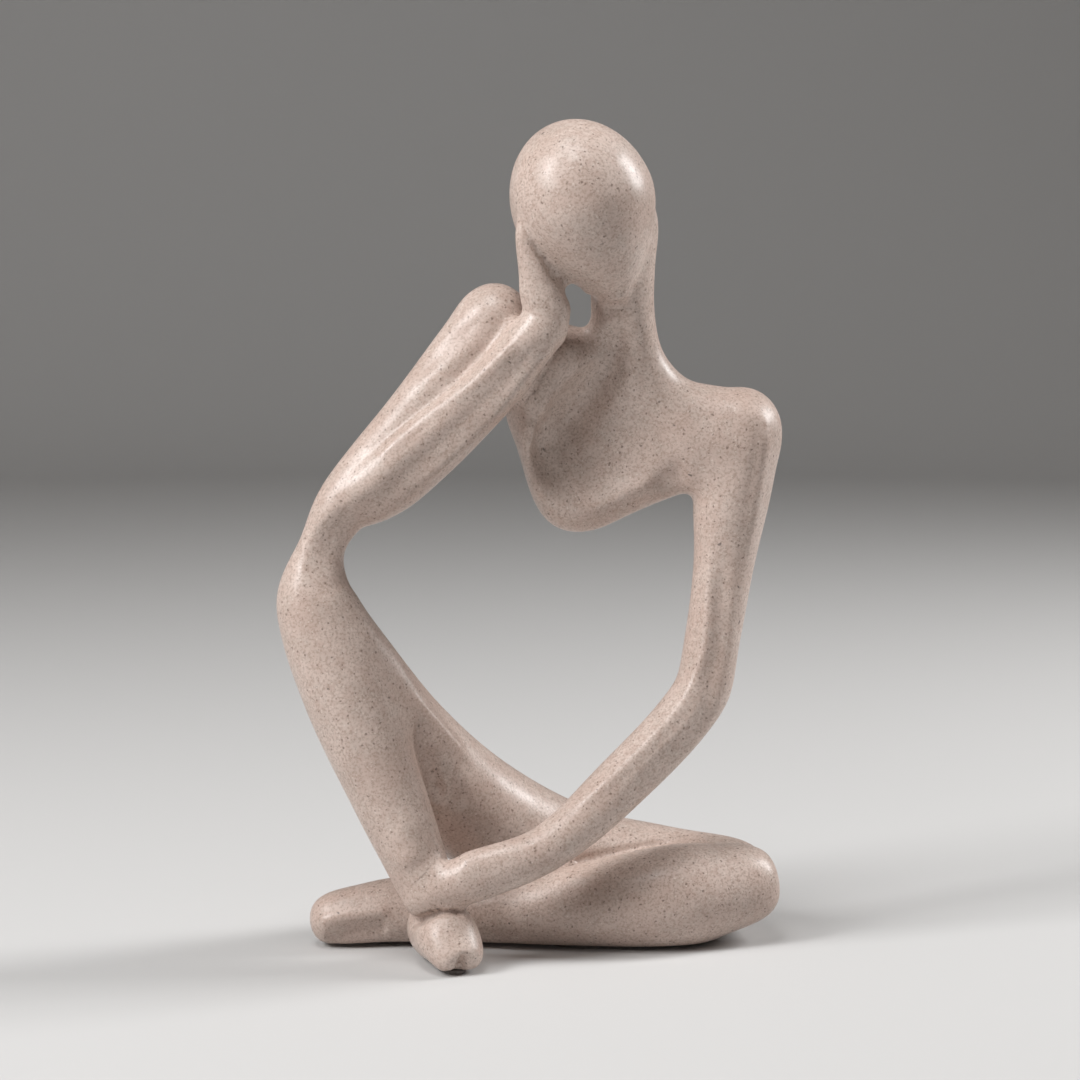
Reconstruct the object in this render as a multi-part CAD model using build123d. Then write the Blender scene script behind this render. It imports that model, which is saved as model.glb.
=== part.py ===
from build123d import *
import os
from math import cos, radians, sin

# Seated thinker figure, a table ornament: resin castings doweled and glued together, standing on felt pads.
# Millimetres. +X is the viewer's right, +Y is away from the viewer, +Z is up, and the table is at Z 0.
# Left and right are the figure's own: the right hand props the cheek and the left hand holds the ankle.

# Head and neck: an egg with a round crown over a long tapering jaw, leaning over the propping hand
HEAD_CENTRE = Vector(16.7, -9.0, 233.3)
HEAD_WIDE = 44.4
HEAD_DEEP = 47.0
CROWN_RISE = 26.2
JAW_DROP = 31.5
CHEEK_DROP = 13.2
CHIN_WIDE = 8.8
HEAD_TILT = 21.5
NECK_TOP = Vector(29.8, -4.0, 226.0)
NECK_MIDDLE = Vector(28.8, -1.5, 210.0)
NECK_LOW = Vector(29.3, 1.0, 197.0)
NECK_ROOT = Vector(31.2, 3.0, 186.5)
NECK_FLARE = Vector(36.2, 4.0, 174.0)
NECK_TOP_REACH = 14.0
NECK_GIRTH = 20.0
NECK_ROOT_GIRTH = 23.2
NECK_FLARE_WIDE = 37.6
NECK_FLARE_DEEP = 20.0

# Chest: upright slices from the right shoulder across to the left, scooped hollow in front
CHEST_RIGHT_END = Vector(-8.0, 3.0, 187.0)
RIGHT_RIB = Vector(3.0, 3.0, 168.5)
BREASTBONE = Vector(16.0, 3.0, 163.3)
LEFT_RIB = Vector(30.0, 3.0, 163.8)
ARMPIT = Vector(46.0, 3.0, 161.7)
CHEST_LEFT_END = Vector(64.0, 3.0, 161.2)
CHEST_RIGHT_END_TALL = 30.0
CHEST_RIGHT_END_THICK = 19.0
RIGHT_RIB_TALL = 61.0
RIGHT_RIB_THICK = 24.0
BREASTBONE_TALL = 64.5
BREASTBONE_THICK = 26.0
LEFT_RIB_TALL = 55.5
LEFT_RIB_THICK = 25.0
ARMPIT_TALL = 38.0
ARMPIT_THICK = 25.6
CHEST_LEFT_END_TALL = 30.4
CHEST_LEFT_END_THICK = 27.0
SCOOP_TOP = Vector(29.0, -13.8, 184.0)
SCOOP_MIDDLE = Vector(35.0, -15.0, 168.0)
SCOOP_LOW = Vector(36.0, -15.0, 154.0)
SCOOP_END = Vector(26.0, -13.5, 142.0)
SCOOP_TOP_WIDE = 34.0
SCOOP_TOP_DEEP = 14.0
SCOOP_MIDDLE_WIDE = 66.0
SCOOP_LOW_WIDE = 74.0
SCOOP_DEEP = 20.0
SCOOP_END_WIDE = 40.0
SCOOP_END_DEEP = 15.0
SCOOP_REACH = 6.0
SCOOP_TURN = 16.0

# Right arm, from the shoulder down to the knee and back up to the cheek
RIGHT_SHOULDER = Vector(-10.6, 0.5, 197.0)
RIGHT_UPPER_ARM = Vector(-33.5, -7.5, 169.7)
RIGHT_ELBOW = Vector(-56.5, -13.0, 142.0)
ELBOW_WAIST = Vector(-63.9, -13.0, 128.5)
FOREARM_BELLY = Vector(-44.0, -13.4, 149.2)
FOREARM_NARROW = Vector(-12.8, -14.5, 175.6)
RIGHT_WRIST = Vector(4.6, -15.0, 196.5)
RIGHT_HAND_ROOT = Vector(5.2, -15.0, 194.0)
RIGHT_HAND_HEEL = Vector(5.6, -15.4, 200.0)
RIGHT_PALM = Vector(3.5, -16.2, 207.0)
RIGHT_FINGERS = Vector(0.8, -17.4, 216.5)
FINGERTIPS = Vector(-1.5, -18.2, 224.0)
RIGHT_SHOULDER_GIRTH = 24.8
RIGHT_SHOULDER_REACH = 12.0
RIGHT_UPPER_ARM_GIRTH = 20.2
RIGHT_ELBOW_GIRTH = 18.0
RIGHT_ELBOW_REACH = 8.0
ELBOW_WAIST_GIRTH = 14.5
FOREARM_BELLY_GIRTH = 22.6
FOREARM_NARROW_GIRTH = 17.4
RIGHT_WRIST_GIRTH = 14.8
RIGHT_WRIST_REACH = 6.0
RIGHT_HAND_ROOT_WIDE = 13.0
RIGHT_HAND_ROOT_REACH = 5.0
RIGHT_HAND_HEEL_WIDE = 15.2
RIGHT_HAND_DEEP = 13.0
RIGHT_PALM_WIDE = 12.9
RIGHT_PALM_DEEP = 11.5
RIGHT_FINGERS_WIDE = 9.1
RIGHT_FINGERS_DEEP = 8.6
FINGERTIP_WIDE = 5.6
FINGERTIP_DEEP = 6.2
FINGERTIP_REACH = 7.0

# Left arm, from the shoulder down to the ankle
LEFT_SHOULDER = Vector(65.6, 3.0, 162.0)
LEFT_ARM_HIGH = Vector(63.2, 2.0, 141.5)
LEFT_UPPER_ARM = Vector(61.0, 0.0, 122.0)
LEFT_ARM_LOW = Vector(57.2, -3.8, 98.0)
LEFT_ELBOW = Vector(52.6, -6.5, 80.0)
LEFT_FOREARM = Vector(25.9, -17.0, 52.6)
LEFT_WRIST = Vector(4.8, -25.0, 36.1)
LEFT_PALM = Vector(-18.1, -29.5, 28.2)
LEFT_FINGERS = Vector(-33.5, -26.5, 22.4)
LEFT_SHOULDER_GIRTH = 27.2
LEFT_SHOULDER_REACH = 15.2
LEFT_ARM_HIGH_GIRTH = 24.0
LEFT_UPPER_ARM_GIRTH = 19.2
LEFT_ARM_LOW_GIRTH = 17.4
LEFT_ELBOW_GIRTH = 17.8
LEFT_FOREARM_GIRTH = 17.0
LEFT_WRIST_GIRTH = 14.5
LEFT_PALM_WIDE = 16.0
LEFT_PALM_DEEP = 11.5
LEFT_FINGERS_WIDE = 14.0
LEFT_FINGERS_DEEP = 11.0
LEFT_FINGERS_REACH = 6.5

# Raised leg: the shin hangs from the knee, and its foot stands in front of the folded ankle
RAISED_KNEE = Vector(-66.2, -12.0, 112.0)
RAISED_CALF = Vector(-56.5, -14.0, 84.0)
RAISED_SHIN = Vector(-43.5, -17.5, 51.2)
RAISED_ANKLE = Vector(-31.7, -22.5, 23.6)
HEEL = Vector(-30.5, -18.0, 9.5)
INSTEP = Vector(-26.0, -27.5, 10.5)
TOES = Vector(-21.6, -35.6, 5.6)
RAISED_KNEE_GIRTH = 24.2
RAISED_CALF_GIRTH = 28.2
RAISED_SHIN_GIRTH = 23.3
RAISED_ANKLE_GIRTH = 17.6
RAISED_ANKLE_REACH = 10.0
HEEL_WIDE = 15.5
HEEL_TALL = 19.0
HEEL_REACH = 8.0
INSTEP_WIDE = 19.5
INSTEP_TALL = 20.0
TOES_WIDE = 17.0
TOES_TALL = 13.0
TOES_REACH = 5.5

# Thighs: one curve from behind the raised knee through the hip to the folded knee
RAISED_THIGH_TOP = Vector(-65.3, -13.5, 111.5)
RAISED_THIGH_HIGH = Vector(-56.6, -12.0, 96.0)
RAISED_THIGH = Vector(-38.2, -1.5, 66.8)
RAISED_HAUNCH = Vector(-15.5, 14.6, 38.7)
HIP = Vector(14.7, 23.6, 22.4)
FOLDED_HAUNCH = Vector(42.0, 20.4, 16.2)
FOLDED_THIGH = Vector(60.0, 14.0, 16.8)
RAISED_THIGH_TOP_GIRTH = 21.6
RAISED_THIGH_TOP_REACH = 8.0
RAISED_THIGH_HIGH_GIRTH = 24.4
RAISED_THIGH_GIRTH = 28.6
RAISED_HAUNCH_GIRTH = 36.0
HIP_GIRTH = 33.3
FOLDED_HAUNCH_GIRTH = 34.2
FOLDED_THIGH_GIRTH = 30.0
FOLDED_THIGH_REACH = 19.0

# Folded leg, lying on the table from its knee to the toes behind the raised foot
FOLDED_KNEE = Vector(69.5, 5.0, 18.0)
FOLDED_CALF = Vector(46.0, 0.0, 15.0)
FOLDED_SHIN = Vector(12.0, -2.0, 12.0)
FOLDED_ANKLE = Vector(-16.0, 0.0, 9.0)
FOLDED_INSTEP = Vector(-40.0, 1.0, 10.4)
FOLDED_TOES = Vector(-60.0, -2.0, 8.6)
FOLDED_KNEE_GIRTH = 25.6
FOLDED_KNEE_REACH = 10.0
FOLDED_CALF_GIRTH = 33.0
FOLDED_SHIN_GIRTH = 25.5
FOLDED_ANKLE_GIRTH = 18.6
FOLDED_INSTEP_GIRTH = 21.0
FOLDED_TOES_GIRTH = 18.0
FOLDED_TOES_REACH = 10.0

# Joint planes between the castings
NECK_JOINT_HEIGHT = 200.0
RIGHT_SHOULDER_JOINT = -8.0
LEFT_SHOULDER_JOINT_HEIGHT = 140.0
HIP_JOINT = 14.7

# Steel dowels glued in across the joints, and the bent wire that stiffens the slim arm
NECK_DOWEL_DIAMETER = 5.0
NECK_DOWEL_LENGTH = 26.0
SHOULDER_DOWEL_DIAMETER = 6.0
SHOULDER_DOWEL_LENGTH = 24.0
SHOULDER_DOWEL_HEIGHT = 190.0
ELBOW_DOWEL_DIAMETER = 5.0
ELBOW_DOWEL_LENGTH = 26.0
HIP_DOWEL_DIAMETER = 8.0
HIP_DOWEL_LENGTH = 40.0
ANKLE_DOWEL_DIAMETER = 4.0
ANKLE_DOWEL_LENGTH = 14.0
CHEEK_DOWEL_DIAMETER = 2.5
CHEEK_DOWEL_LENGTH = 10.0
ARM_CORE_DIAMETER = 3.2
ARM_CORE_RISE = 14.0
ARM_CORE_BEND = 25.0
GLUE_GAP = 0.1

# Felt pads under the four places where the figure meets the table
PAD_THICK = 1.2
RAISED_FOOT_PAD_LONG = 13.0
RAISED_FOOT_PAD_WIDE = 8.0
CALF_PAD_LONG = 44.0
CALF_PAD_WIDE = 13.0
THIGH_PAD_LONG = 24.0
THIGH_PAD_WIDE = 10.0
FOLDED_FOOT_PAD_LONG = 18.0
FOLDED_FOOT_PAD_WIDE = 6.5

# How limbs are drawn: the distance between slices, and the angles of the two slices in a rounded end
SLICE_STEP = 8.0
ROUND_END_ANGLES = (35, 68)


def slope(values, marks, index):
    before = max(index - 1, 0)
    after = min(index + 1, len(values) - 1)
    return (values[after] - values[before]) * (1 / (marks[after] - marks[before]))


def between(values, marks, spot):
    index = 0
    while index < len(marks) - 2 and marks[index + 1] < spot:
        index += 1
    span = marks[index + 1] - marks[index]
    share = (spot - marks[index]) / span
    rest = 1 - share
    chord = (values[index + 1] - values[index]) * (share * share * (3 - 2 * share))
    leaving = slope(values, marks, index) * (span * share * rest * rest)
    arriving = slope(values, marks, index + 1) * (span * share * share * rest)
    return values[index] + chord + leaving - arriving


def slice_at(place, along, wide, deep, front):
    across = front.cross(along).normalized()
    return Plane(place, x_dir=across, z_dir=along) * Ellipse(wide / 2, deep / 2)


def rounded_end(place, outward, along, wide, deep, reach, front):
    slices = []
    for angle in ROUND_END_ANGLES:
        shrink = cos(radians(angle))
        centre = place + outward * (reach * sin(radians(angle)))
        slices.append(slice_at(centre, along, wide * shrink, deep * shrink, front))
    slices.append(Vertex(*(place + outward * reach)))
    return slices


def limb(stations, start_reach=0, end_reach=0, front=Vector(0, 1, 0), facing=None):
    places = [place for place, wide, deep in stations]
    wides = [wide for place, wide, deep in stations]
    deeps = [deep for place, wide, deep in stations]
    marks = [0]
    for place, following in zip(places, places[1:]):
        marks.append(marks[-1] + (following - place).length)
    count = round(marks[-1] / SLICE_STEP)
    spots = [marks[-1] * index / count for index in range(count + 1)]
    track = [between(places, marks, spot) for spot in spots]
    headings = []
    for index in range(count + 1):
        ahead = track[min(index + 1, count)]
        behind = track[max(index - 1, 0)]
        headings.append(facing or (ahead - behind).normalized())
    slices = []
    if start_reach:
        first = rounded_end(track[0], -headings[0], headings[0], wides[0], deeps[0], start_reach, front)
        slices.extend(reversed(first))
    for spot, place, heading in zip(spots, track, headings):
        wide = between(wides, marks, spot)
        deep = between(deeps, marks, spot)
        slices.append(slice_at(place, heading, wide, deep, front))
    if end_reach:
        last = rounded_end(track[-1], headings[-1], headings[-1], wides[-1], deeps[-1], end_reach, front)
        slices.extend(last)
    return loft(slices)


def make_egg():
    half = HEAD_WIDE / 2
    with BuildPart() as egg:
        with BuildSketch(Plane.XZ):
            with BuildLine():
                EllipticalCenterArc((0, 0), half, CROWN_RISE, arc_size=90)
                Bezier((half, 0), (half, -CHEEK_DROP), (CHIN_WIDE / 2, -JAW_DROP), (0, -JAW_DROP))
                Line((0, -JAW_DROP), (0, CROWN_RISE))
            make_face()
        revolve(axis=Axis.Z)
    shaped = scale(egg.part, by=(1, HEAD_DEEP / HEAD_WIDE, 1))
    return Location(HEAD_CENTRE, (0, -HEAD_TILT, 0)) * shaped


def make_neck():
    return limb([
        (NECK_TOP, NECK_GIRTH, NECK_GIRTH),
        (NECK_MIDDLE, NECK_GIRTH, NECK_GIRTH),
        (NECK_LOW, NECK_GIRTH, NECK_GIRTH),
        (NECK_ROOT, NECK_ROOT_GIRTH, NECK_GIRTH),
        (NECK_FLARE, NECK_FLARE_WIDE, NECK_FLARE_DEEP),
    ], start_reach=NECK_TOP_REACH, facing=Vector(0, 0, -1))


def make_chest():
    return limb([
        (CHEST_RIGHT_END, CHEST_RIGHT_END_TALL, CHEST_RIGHT_END_THICK),
        (RIGHT_RIB, RIGHT_RIB_TALL, RIGHT_RIB_THICK),
        (BREASTBONE, BREASTBONE_TALL, BREASTBONE_THICK),
        (LEFT_RIB, LEFT_RIB_TALL, LEFT_RIB_THICK),
        (ARMPIT, ARMPIT_TALL, ARMPIT_THICK),
        (CHEST_LEFT_END, CHEST_LEFT_END_TALL, CHEST_LEFT_END_THICK),
    ], facing=Vector(1, 0, 0))


def make_scoop():
    return limb([
        (SCOOP_TOP, SCOOP_TOP_WIDE, SCOOP_TOP_DEEP),
        (SCOOP_MIDDLE, SCOOP_MIDDLE_WIDE, SCOOP_DEEP),
        (SCOOP_LOW, SCOOP_LOW_WIDE, SCOOP_DEEP),
        (SCOOP_END, SCOOP_END_WIDE, SCOOP_END_DEEP),
    ], start_reach=SCOOP_REACH, end_reach=SCOOP_REACH,
        front=Vector(sin(radians(SCOOP_TURN)), cos(radians(SCOOP_TURN)), 0), facing=Vector(0, 0, -1))


def make_arm_and_shin():
    return limb([
        (RIGHT_SHOULDER, RIGHT_SHOULDER_GIRTH, RIGHT_SHOULDER_GIRTH),
        (RIGHT_UPPER_ARM, RIGHT_UPPER_ARM_GIRTH, RIGHT_UPPER_ARM_GIRTH),
        (RIGHT_ELBOW, RIGHT_ELBOW_GIRTH, RIGHT_ELBOW_GIRTH),
        (ELBOW_WAIST, ELBOW_WAIST_GIRTH, ELBOW_WAIST_GIRTH),
        (RAISED_KNEE, RAISED_KNEE_GIRTH, RAISED_KNEE_GIRTH),
        (RAISED_CALF, RAISED_CALF_GIRTH, RAISED_CALF_GIRTH),
        (RAISED_SHIN, RAISED_SHIN_GIRTH, RAISED_SHIN_GIRTH),
        (RAISED_ANKLE, RAISED_ANKLE_GIRTH, RAISED_ANKLE_GIRTH),
    ], start_reach=RIGHT_SHOULDER_REACH, end_reach=RAISED_ANKLE_REACH)


def make_forearm():
    return limb([
        (RIGHT_ELBOW, RIGHT_ELBOW_GIRTH, RIGHT_ELBOW_GIRTH),
        (FOREARM_BELLY, FOREARM_BELLY_GIRTH, FOREARM_BELLY_GIRTH),
        (FOREARM_NARROW, FOREARM_NARROW_GIRTH, FOREARM_NARROW_GIRTH),
        (RIGHT_WRIST, RIGHT_WRIST_GIRTH, RIGHT_WRIST_GIRTH),
    ], start_reach=RIGHT_ELBOW_REACH, end_reach=RIGHT_WRIST_REACH)


def make_right_hand():
    return limb([
        (RIGHT_HAND_ROOT, RIGHT_HAND_ROOT_WIDE, RIGHT_HAND_DEEP),
        (RIGHT_HAND_HEEL, RIGHT_HAND_HEEL_WIDE, RIGHT_HAND_DEEP),
        (RIGHT_PALM, RIGHT_PALM_WIDE, RIGHT_PALM_DEEP),
        (RIGHT_FINGERS, RIGHT_FINGERS_WIDE, RIGHT_FINGERS_DEEP),
        (FINGERTIPS, FINGERTIP_WIDE, FINGERTIP_DEEP),
    ], start_reach=RIGHT_HAND_ROOT_REACH, end_reach=FINGERTIP_REACH, facing=Vector(0, 0, 1))


def make_left_limb():
    return limb([
        (LEFT_SHOULDER, LEFT_SHOULDER_GIRTH, LEFT_SHOULDER_GIRTH),
        (LEFT_ARM_HIGH, LEFT_ARM_HIGH_GIRTH, LEFT_ARM_HIGH_GIRTH),
        (LEFT_UPPER_ARM, LEFT_UPPER_ARM_GIRTH, LEFT_UPPER_ARM_GIRTH),
        (LEFT_ARM_LOW, LEFT_ARM_LOW_GIRTH, LEFT_ARM_LOW_GIRTH),
        (LEFT_ELBOW, LEFT_ELBOW_GIRTH, LEFT_ELBOW_GIRTH),
        (LEFT_FOREARM, LEFT_FOREARM_GIRTH, LEFT_FOREARM_GIRTH),
        (LEFT_WRIST, LEFT_WRIST_GIRTH, LEFT_WRIST_GIRTH),
        (LEFT_PALM, LEFT_PALM_WIDE, LEFT_PALM_DEEP),
        (LEFT_FINGERS, LEFT_FINGERS_WIDE, LEFT_FINGERS_DEEP),
    ], start_reach=LEFT_SHOULDER_REACH, end_reach=LEFT_FINGERS_REACH)


def make_raised_foot():
    return limb([
        (HEEL, HEEL_WIDE, HEEL_TALL),
        (INSTEP, INSTEP_WIDE, INSTEP_TALL),
        (TOES, TOES_WIDE, TOES_TALL),
    ], start_reach=HEEL_REACH, end_reach=TOES_REACH, front=Vector(0, 0, 1))


def make_thighs():
    return limb([
        (RAISED_THIGH_TOP, RAISED_THIGH_TOP_GIRTH, RAISED_THIGH_TOP_GIRTH),
        (RAISED_THIGH_HIGH, RAISED_THIGH_HIGH_GIRTH, RAISED_THIGH_HIGH_GIRTH),
        (RAISED_THIGH, RAISED_THIGH_GIRTH, RAISED_THIGH_GIRTH),
        (RAISED_HAUNCH, RAISED_HAUNCH_GIRTH, RAISED_HAUNCH_GIRTH),
        (HIP, HIP_GIRTH, HIP_GIRTH),
        (FOLDED_HAUNCH, FOLDED_HAUNCH_GIRTH, FOLDED_HAUNCH_GIRTH),
        (FOLDED_THIGH, FOLDED_THIGH_GIRTH, FOLDED_THIGH_GIRTH),
    ], start_reach=RAISED_THIGH_TOP_REACH, end_reach=FOLDED_THIGH_REACH)


def make_folded_calf():
    return limb([
        (FOLDED_KNEE, FOLDED_KNEE_GIRTH, FOLDED_KNEE_GIRTH),
        (FOLDED_CALF, FOLDED_CALF_GIRTH, FOLDED_CALF_GIRTH),
        (FOLDED_SHIN, FOLDED_SHIN_GIRTH, FOLDED_SHIN_GIRTH),
        (FOLDED_ANKLE, FOLDED_ANKLE_GIRTH, FOLDED_ANKLE_GIRTH),
        (FOLDED_INSTEP, FOLDED_INSTEP_GIRTH, FOLDED_INSTEP_GIRTH),
        (FOLDED_TOES, FOLDED_TOES_GIRTH, FOLDED_TOES_GIRTH),
    ], start_reach=FOLDED_KNEE_REACH, end_reach=FOLDED_TOES_REACH)


def rod(place, along, diameter, length):
    return Plane(place, z_dir=along) * Cylinder(diameter / 2, length)


def arm_wire(diameter, overrun):
    top = Vector(LEFT_SHOULDER.X, LEFT_SHOULDER.Y, LEFT_SHOULDER_JOINT_HEIGHT + ARM_CORE_RISE + overrun)
    last = LEFT_WRIST + (LEFT_WRIST - LEFT_FOREARM).normalized() * overrun
    path = FilletPolyline(top, LEFT_UPPER_ARM, LEFT_ELBOW, LEFT_FOREARM, last, radius=ARM_CORE_BEND)
    return sweep(Plane(path @ 0, z_dir=path % 0) * Circle(diameter / 2), path=path)


def pad(place, heading, long, wide):
    outline = Plane((place.X, place.Y, 0), x_dir=(heading.X, heading.Y, 0)) * Ellipse(long / 2, wide / 2)
    return extrude(outline, PAD_THICK)


neck_joint = Plane((0, 0, NECK_JOINT_HEIGHT))
right_shoulder_joint = Plane((RIGHT_SHOULDER_JOINT, 0, 0), z_dir=(-1, 0, 0))
left_shoulder_joint = Plane((0, 0, LEFT_SHOULDER_JOINT_HEIGHT))
elbow_joint = Plane(ELBOW_WAIST, z_dir=RIGHT_ELBOW - RAISED_KNEE)
hip_joint = Plane((HIP_JOINT, 0, 0), z_dir=(1, 0, 0))
table_cut = Plane((0, 0, PAD_THICK))

neck = make_neck()
arm_and_shin = make_arm_and_shin()
left_limb = make_left_limb()
thighs = make_thighs()
upper_arm = split(arm_and_shin, bisect_by=elbow_joint, keep=Keep.TOP)
shin = split(arm_and_shin, bisect_by=elbow_joint, keep=Keep.BOTTOM)

# Castings, each cut by the ones it rests against so that they meet face to face
head = make_egg() + split(neck, bisect_by=neck_joint, keep=Keep.TOP)
torso = make_chest() + split(neck, bisect_by=neck_joint, keep=Keep.BOTTOM)
torso = torso - make_scoop() - head
torso += split(upper_arm, bisect_by=right_shoulder_joint, keep=Keep.BOTTOM)
torso += split(left_limb, bisect_by=left_shoulder_joint, keep=Keep.TOP)
right_arm = split(upper_arm, bisect_by=right_shoulder_joint, keep=Keep.TOP)
right_arm = right_arm + make_forearm() + make_right_hand() - torso - head
folded_leg = split(thighs, bisect_by=hip_joint, keep=Keep.TOP) + make_folded_calf()
folded_leg = split(folded_leg, bisect_by=table_cut, keep=Keep.TOP)
raised_leg = split(thighs, bisect_by=hip_joint, keep=Keep.BOTTOM) + shin + make_raised_foot()
raised_leg = split(raised_leg, bisect_by=table_cut, keep=Keep.TOP) - folded_leg
left_arm = split(left_limb, bisect_by=left_shoulder_joint, keep=Keep.BOTTOM) - torso - raised_leg

pieces = {
    "head": head,
    "torso": torso,
    "right_arm": right_arm,
    "left_arm": left_arm,
    "raised_leg": raised_leg,
    "folded_leg": folded_leg,
}

# Each dowel by its middle, its direction, its diameter and length, and the two castings it joins
neck_middle = Vector(NECK_LOW.X, NECK_LOW.Y, NECK_JOINT_HEIGHT)
shoulder_middle = Vector(RIGHT_SHOULDER_JOINT, RIGHT_SHOULDER.Y, SHOULDER_DOWEL_HEIGHT)
hip_middle = Vector(HIP_JOINT, HIP.Y, HIP.Z)
ankle_middle = (LEFT_PALM + RAISED_ANKLE) * 0.5
hand_middle = (RIGHT_PALM + FINGERTIPS) * 0.5
into_cheek = (HEAD_CENTRE - hand_middle).normalized()
cheek_middle = hand_middle + into_cheek * (CHEEK_DOWEL_LENGTH / 2)
dowels = {
    "neck_dowel": (neck_middle, neck_joint.z_dir, NECK_DOWEL_DIAMETER,
                   NECK_DOWEL_LENGTH, ("head", "torso")),
    "shoulder_dowel": (shoulder_middle, right_shoulder_joint.z_dir, SHOULDER_DOWEL_DIAMETER,
                       SHOULDER_DOWEL_LENGTH, ("torso", "right_arm")),
    "elbow_dowel": (ELBOW_WAIST, elbow_joint.z_dir, ELBOW_DOWEL_DIAMETER,
                    ELBOW_DOWEL_LENGTH, ("right_arm", "raised_leg")),
    "hip_dowel": (hip_middle, FOLDED_HAUNCH - RAISED_HAUNCH, HIP_DOWEL_DIAMETER,
                  HIP_DOWEL_LENGTH, ("raised_leg", "folded_leg")),
    "ankle_dowel": (ankle_middle, RAISED_ANKLE - LEFT_PALM, ANKLE_DOWEL_DIAMETER,
                    ANKLE_DOWEL_LENGTH, ("left_arm", "raised_leg")),
    "cheek_dowel": (cheek_middle, into_cheek, CHEEK_DOWEL_DIAMETER,
                    CHEEK_DOWEL_LENGTH, ("right_arm", "head")),
}
for name, (place, along, diameter, length, joined) in dowels.items():
    pieces[name] = rod(place, along, diameter, length)
    socket = rod(place, along, diameter + 2 * GLUE_GAP, length + 2 * GLUE_GAP)
    for casting in joined:
        pieces[casting] -= socket

pieces["arm_core"] = arm_wire(ARM_CORE_DIAMETER, 0)
arm_channel = arm_wire(ARM_CORE_DIAMETER + 2 * GLUE_GAP, GLUE_GAP)
pieces["torso"] -= arm_channel
pieces["left_arm"] -= arm_channel

foot_middle = (INSTEP + TOES) * 0.5
calf_middle = (FOLDED_CALF + FOLDED_SHIN) * 0.5
pieces["raised_foot_pad"] = pad(foot_middle, TOES - HEEL, RAISED_FOOT_PAD_LONG, RAISED_FOOT_PAD_WIDE)
pieces["calf_pad"] = pad(calf_middle, FOLDED_SHIN - FOLDED_CALF, CALF_PAD_LONG, CALF_PAD_WIDE)
pieces["thigh_pad"] = pad(FOLDED_HAUNCH, FOLDED_THIGH - HIP, THIGH_PAD_LONG, THIGH_PAD_WIDE)
pieces["folded_foot_pad"] = pad(FOLDED_INSTEP, FOLDED_TOES - FOLDED_ANKLE,
                                FOLDED_FOOT_PAD_LONG, FOLDED_FOOT_PAD_WIDE)

os.makedirs("parts", exist_ok=True)
for name, solid in pieces.items():
    export_step(solid, f"parts/{name}.step")
    print(name, round(solid.volume), len(solid.solids()), solid.is_valid)
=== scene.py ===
from math import cos, radians, sin

import bmesh
import bpy
import numpy as np
from mathutils import Matrix, Vector
from mathutils.bvhtree import BVHTree


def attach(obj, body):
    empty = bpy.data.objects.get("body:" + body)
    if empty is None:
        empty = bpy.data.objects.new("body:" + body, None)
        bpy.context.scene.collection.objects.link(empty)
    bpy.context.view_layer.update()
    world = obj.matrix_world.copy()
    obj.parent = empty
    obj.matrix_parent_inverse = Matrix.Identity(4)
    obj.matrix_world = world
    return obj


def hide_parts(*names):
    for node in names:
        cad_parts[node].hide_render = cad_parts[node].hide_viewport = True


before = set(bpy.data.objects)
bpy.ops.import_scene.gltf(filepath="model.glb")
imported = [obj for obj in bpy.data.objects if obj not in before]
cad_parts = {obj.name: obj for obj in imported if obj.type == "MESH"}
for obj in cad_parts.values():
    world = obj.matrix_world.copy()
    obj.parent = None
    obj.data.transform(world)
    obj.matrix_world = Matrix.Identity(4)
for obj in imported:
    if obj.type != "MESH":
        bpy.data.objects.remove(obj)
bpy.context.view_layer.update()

mm = 0.001
weld = 0.001 * mm  # points closer than this are one point
mixFirst, mixSecond, mixResult = 6, 7, 2  # a Mix node's colour sockets
scene = bpy.context.scene
print("frame loaded:", len(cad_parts), "nodes")


# The figure's skin: one fused copy of the castings, so that limbs flow into each other
figure = {
    "castings": ["head", "torso", "right_arm", "left_arm", "raised_leg", "folded_leg"],
    "inside": ["neck_dowel", "shoulder_dowel", "elbow_dowel", "hip_dowel", "ankle_dowel", "cheek_dowel",
               "arm_core"],
    "grid": 0.6 * mm,       # distance between skin points
    "fillet": 0.9 * mm,  # radius in the inner corners where limbs meet
    "rounding": 0.9 * mm,   # radius that takes the sharpness off outer edges
    "polish": 3,            # rounds of smoothing after the fillets
    "lastPolish": 1,        # rounds of smoothing after the tool marks
    "seamRounds": 12,       # rounds that straighten the seams between pieces
    "ownVote": 0.5,         # how much a face holds on to its own piece in such a round
}
# Corners with a wider fillet: place, reach and radius in mm
wideCorners = [
    ((15.5, -8, 202.5), 13, 2.6),  # opening below the chin
    ((-8, -13, 196), 10, 2.6),  # crook of the bent arm
    ((-32, -29, 31), 11, 2.6),  # hand on the shin
]
# Webs that round the corners of the opening below the chin: place and radius in mm
webs = [((11, -13.5, 210), 2.0), ((18.7, -10, 206.8), 2.2), ((19.4, -1.5, 195.6), 2.3)]


def newObject(name, mesh):
    obj = bpy.data.objects.new(name, mesh)
    scene.collection.objects.link(obj)
    return obj


def joinCopies(name, nodeNames):
    bm = bmesh.new()
    for nodeName in nodeNames:
        bm.from_mesh(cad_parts[nodeName].data)
    bmesh.ops.remove_doubles(bm, verts=bm.verts, dist=weld)
    for place, radius in webs:
        bmesh.ops.create_icosphere(bm, subdivisions=3, radius=radius * mm,
                                   matrix=Matrix.Translation(Vector(place) * mm))
    mesh = bpy.data.meshes.new(name)
    bm.to_mesh(mesh)
    bm.free()
    return newObject(name, mesh)


def applyModifiers(obj):
    depsgraph = bpy.context.evaluated_depsgraph_get()
    mesh = bpy.data.meshes.new_from_object(obj.evaluated_get(depsgraph))
    obj.modifiers.clear()
    obj.data = mesh


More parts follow.
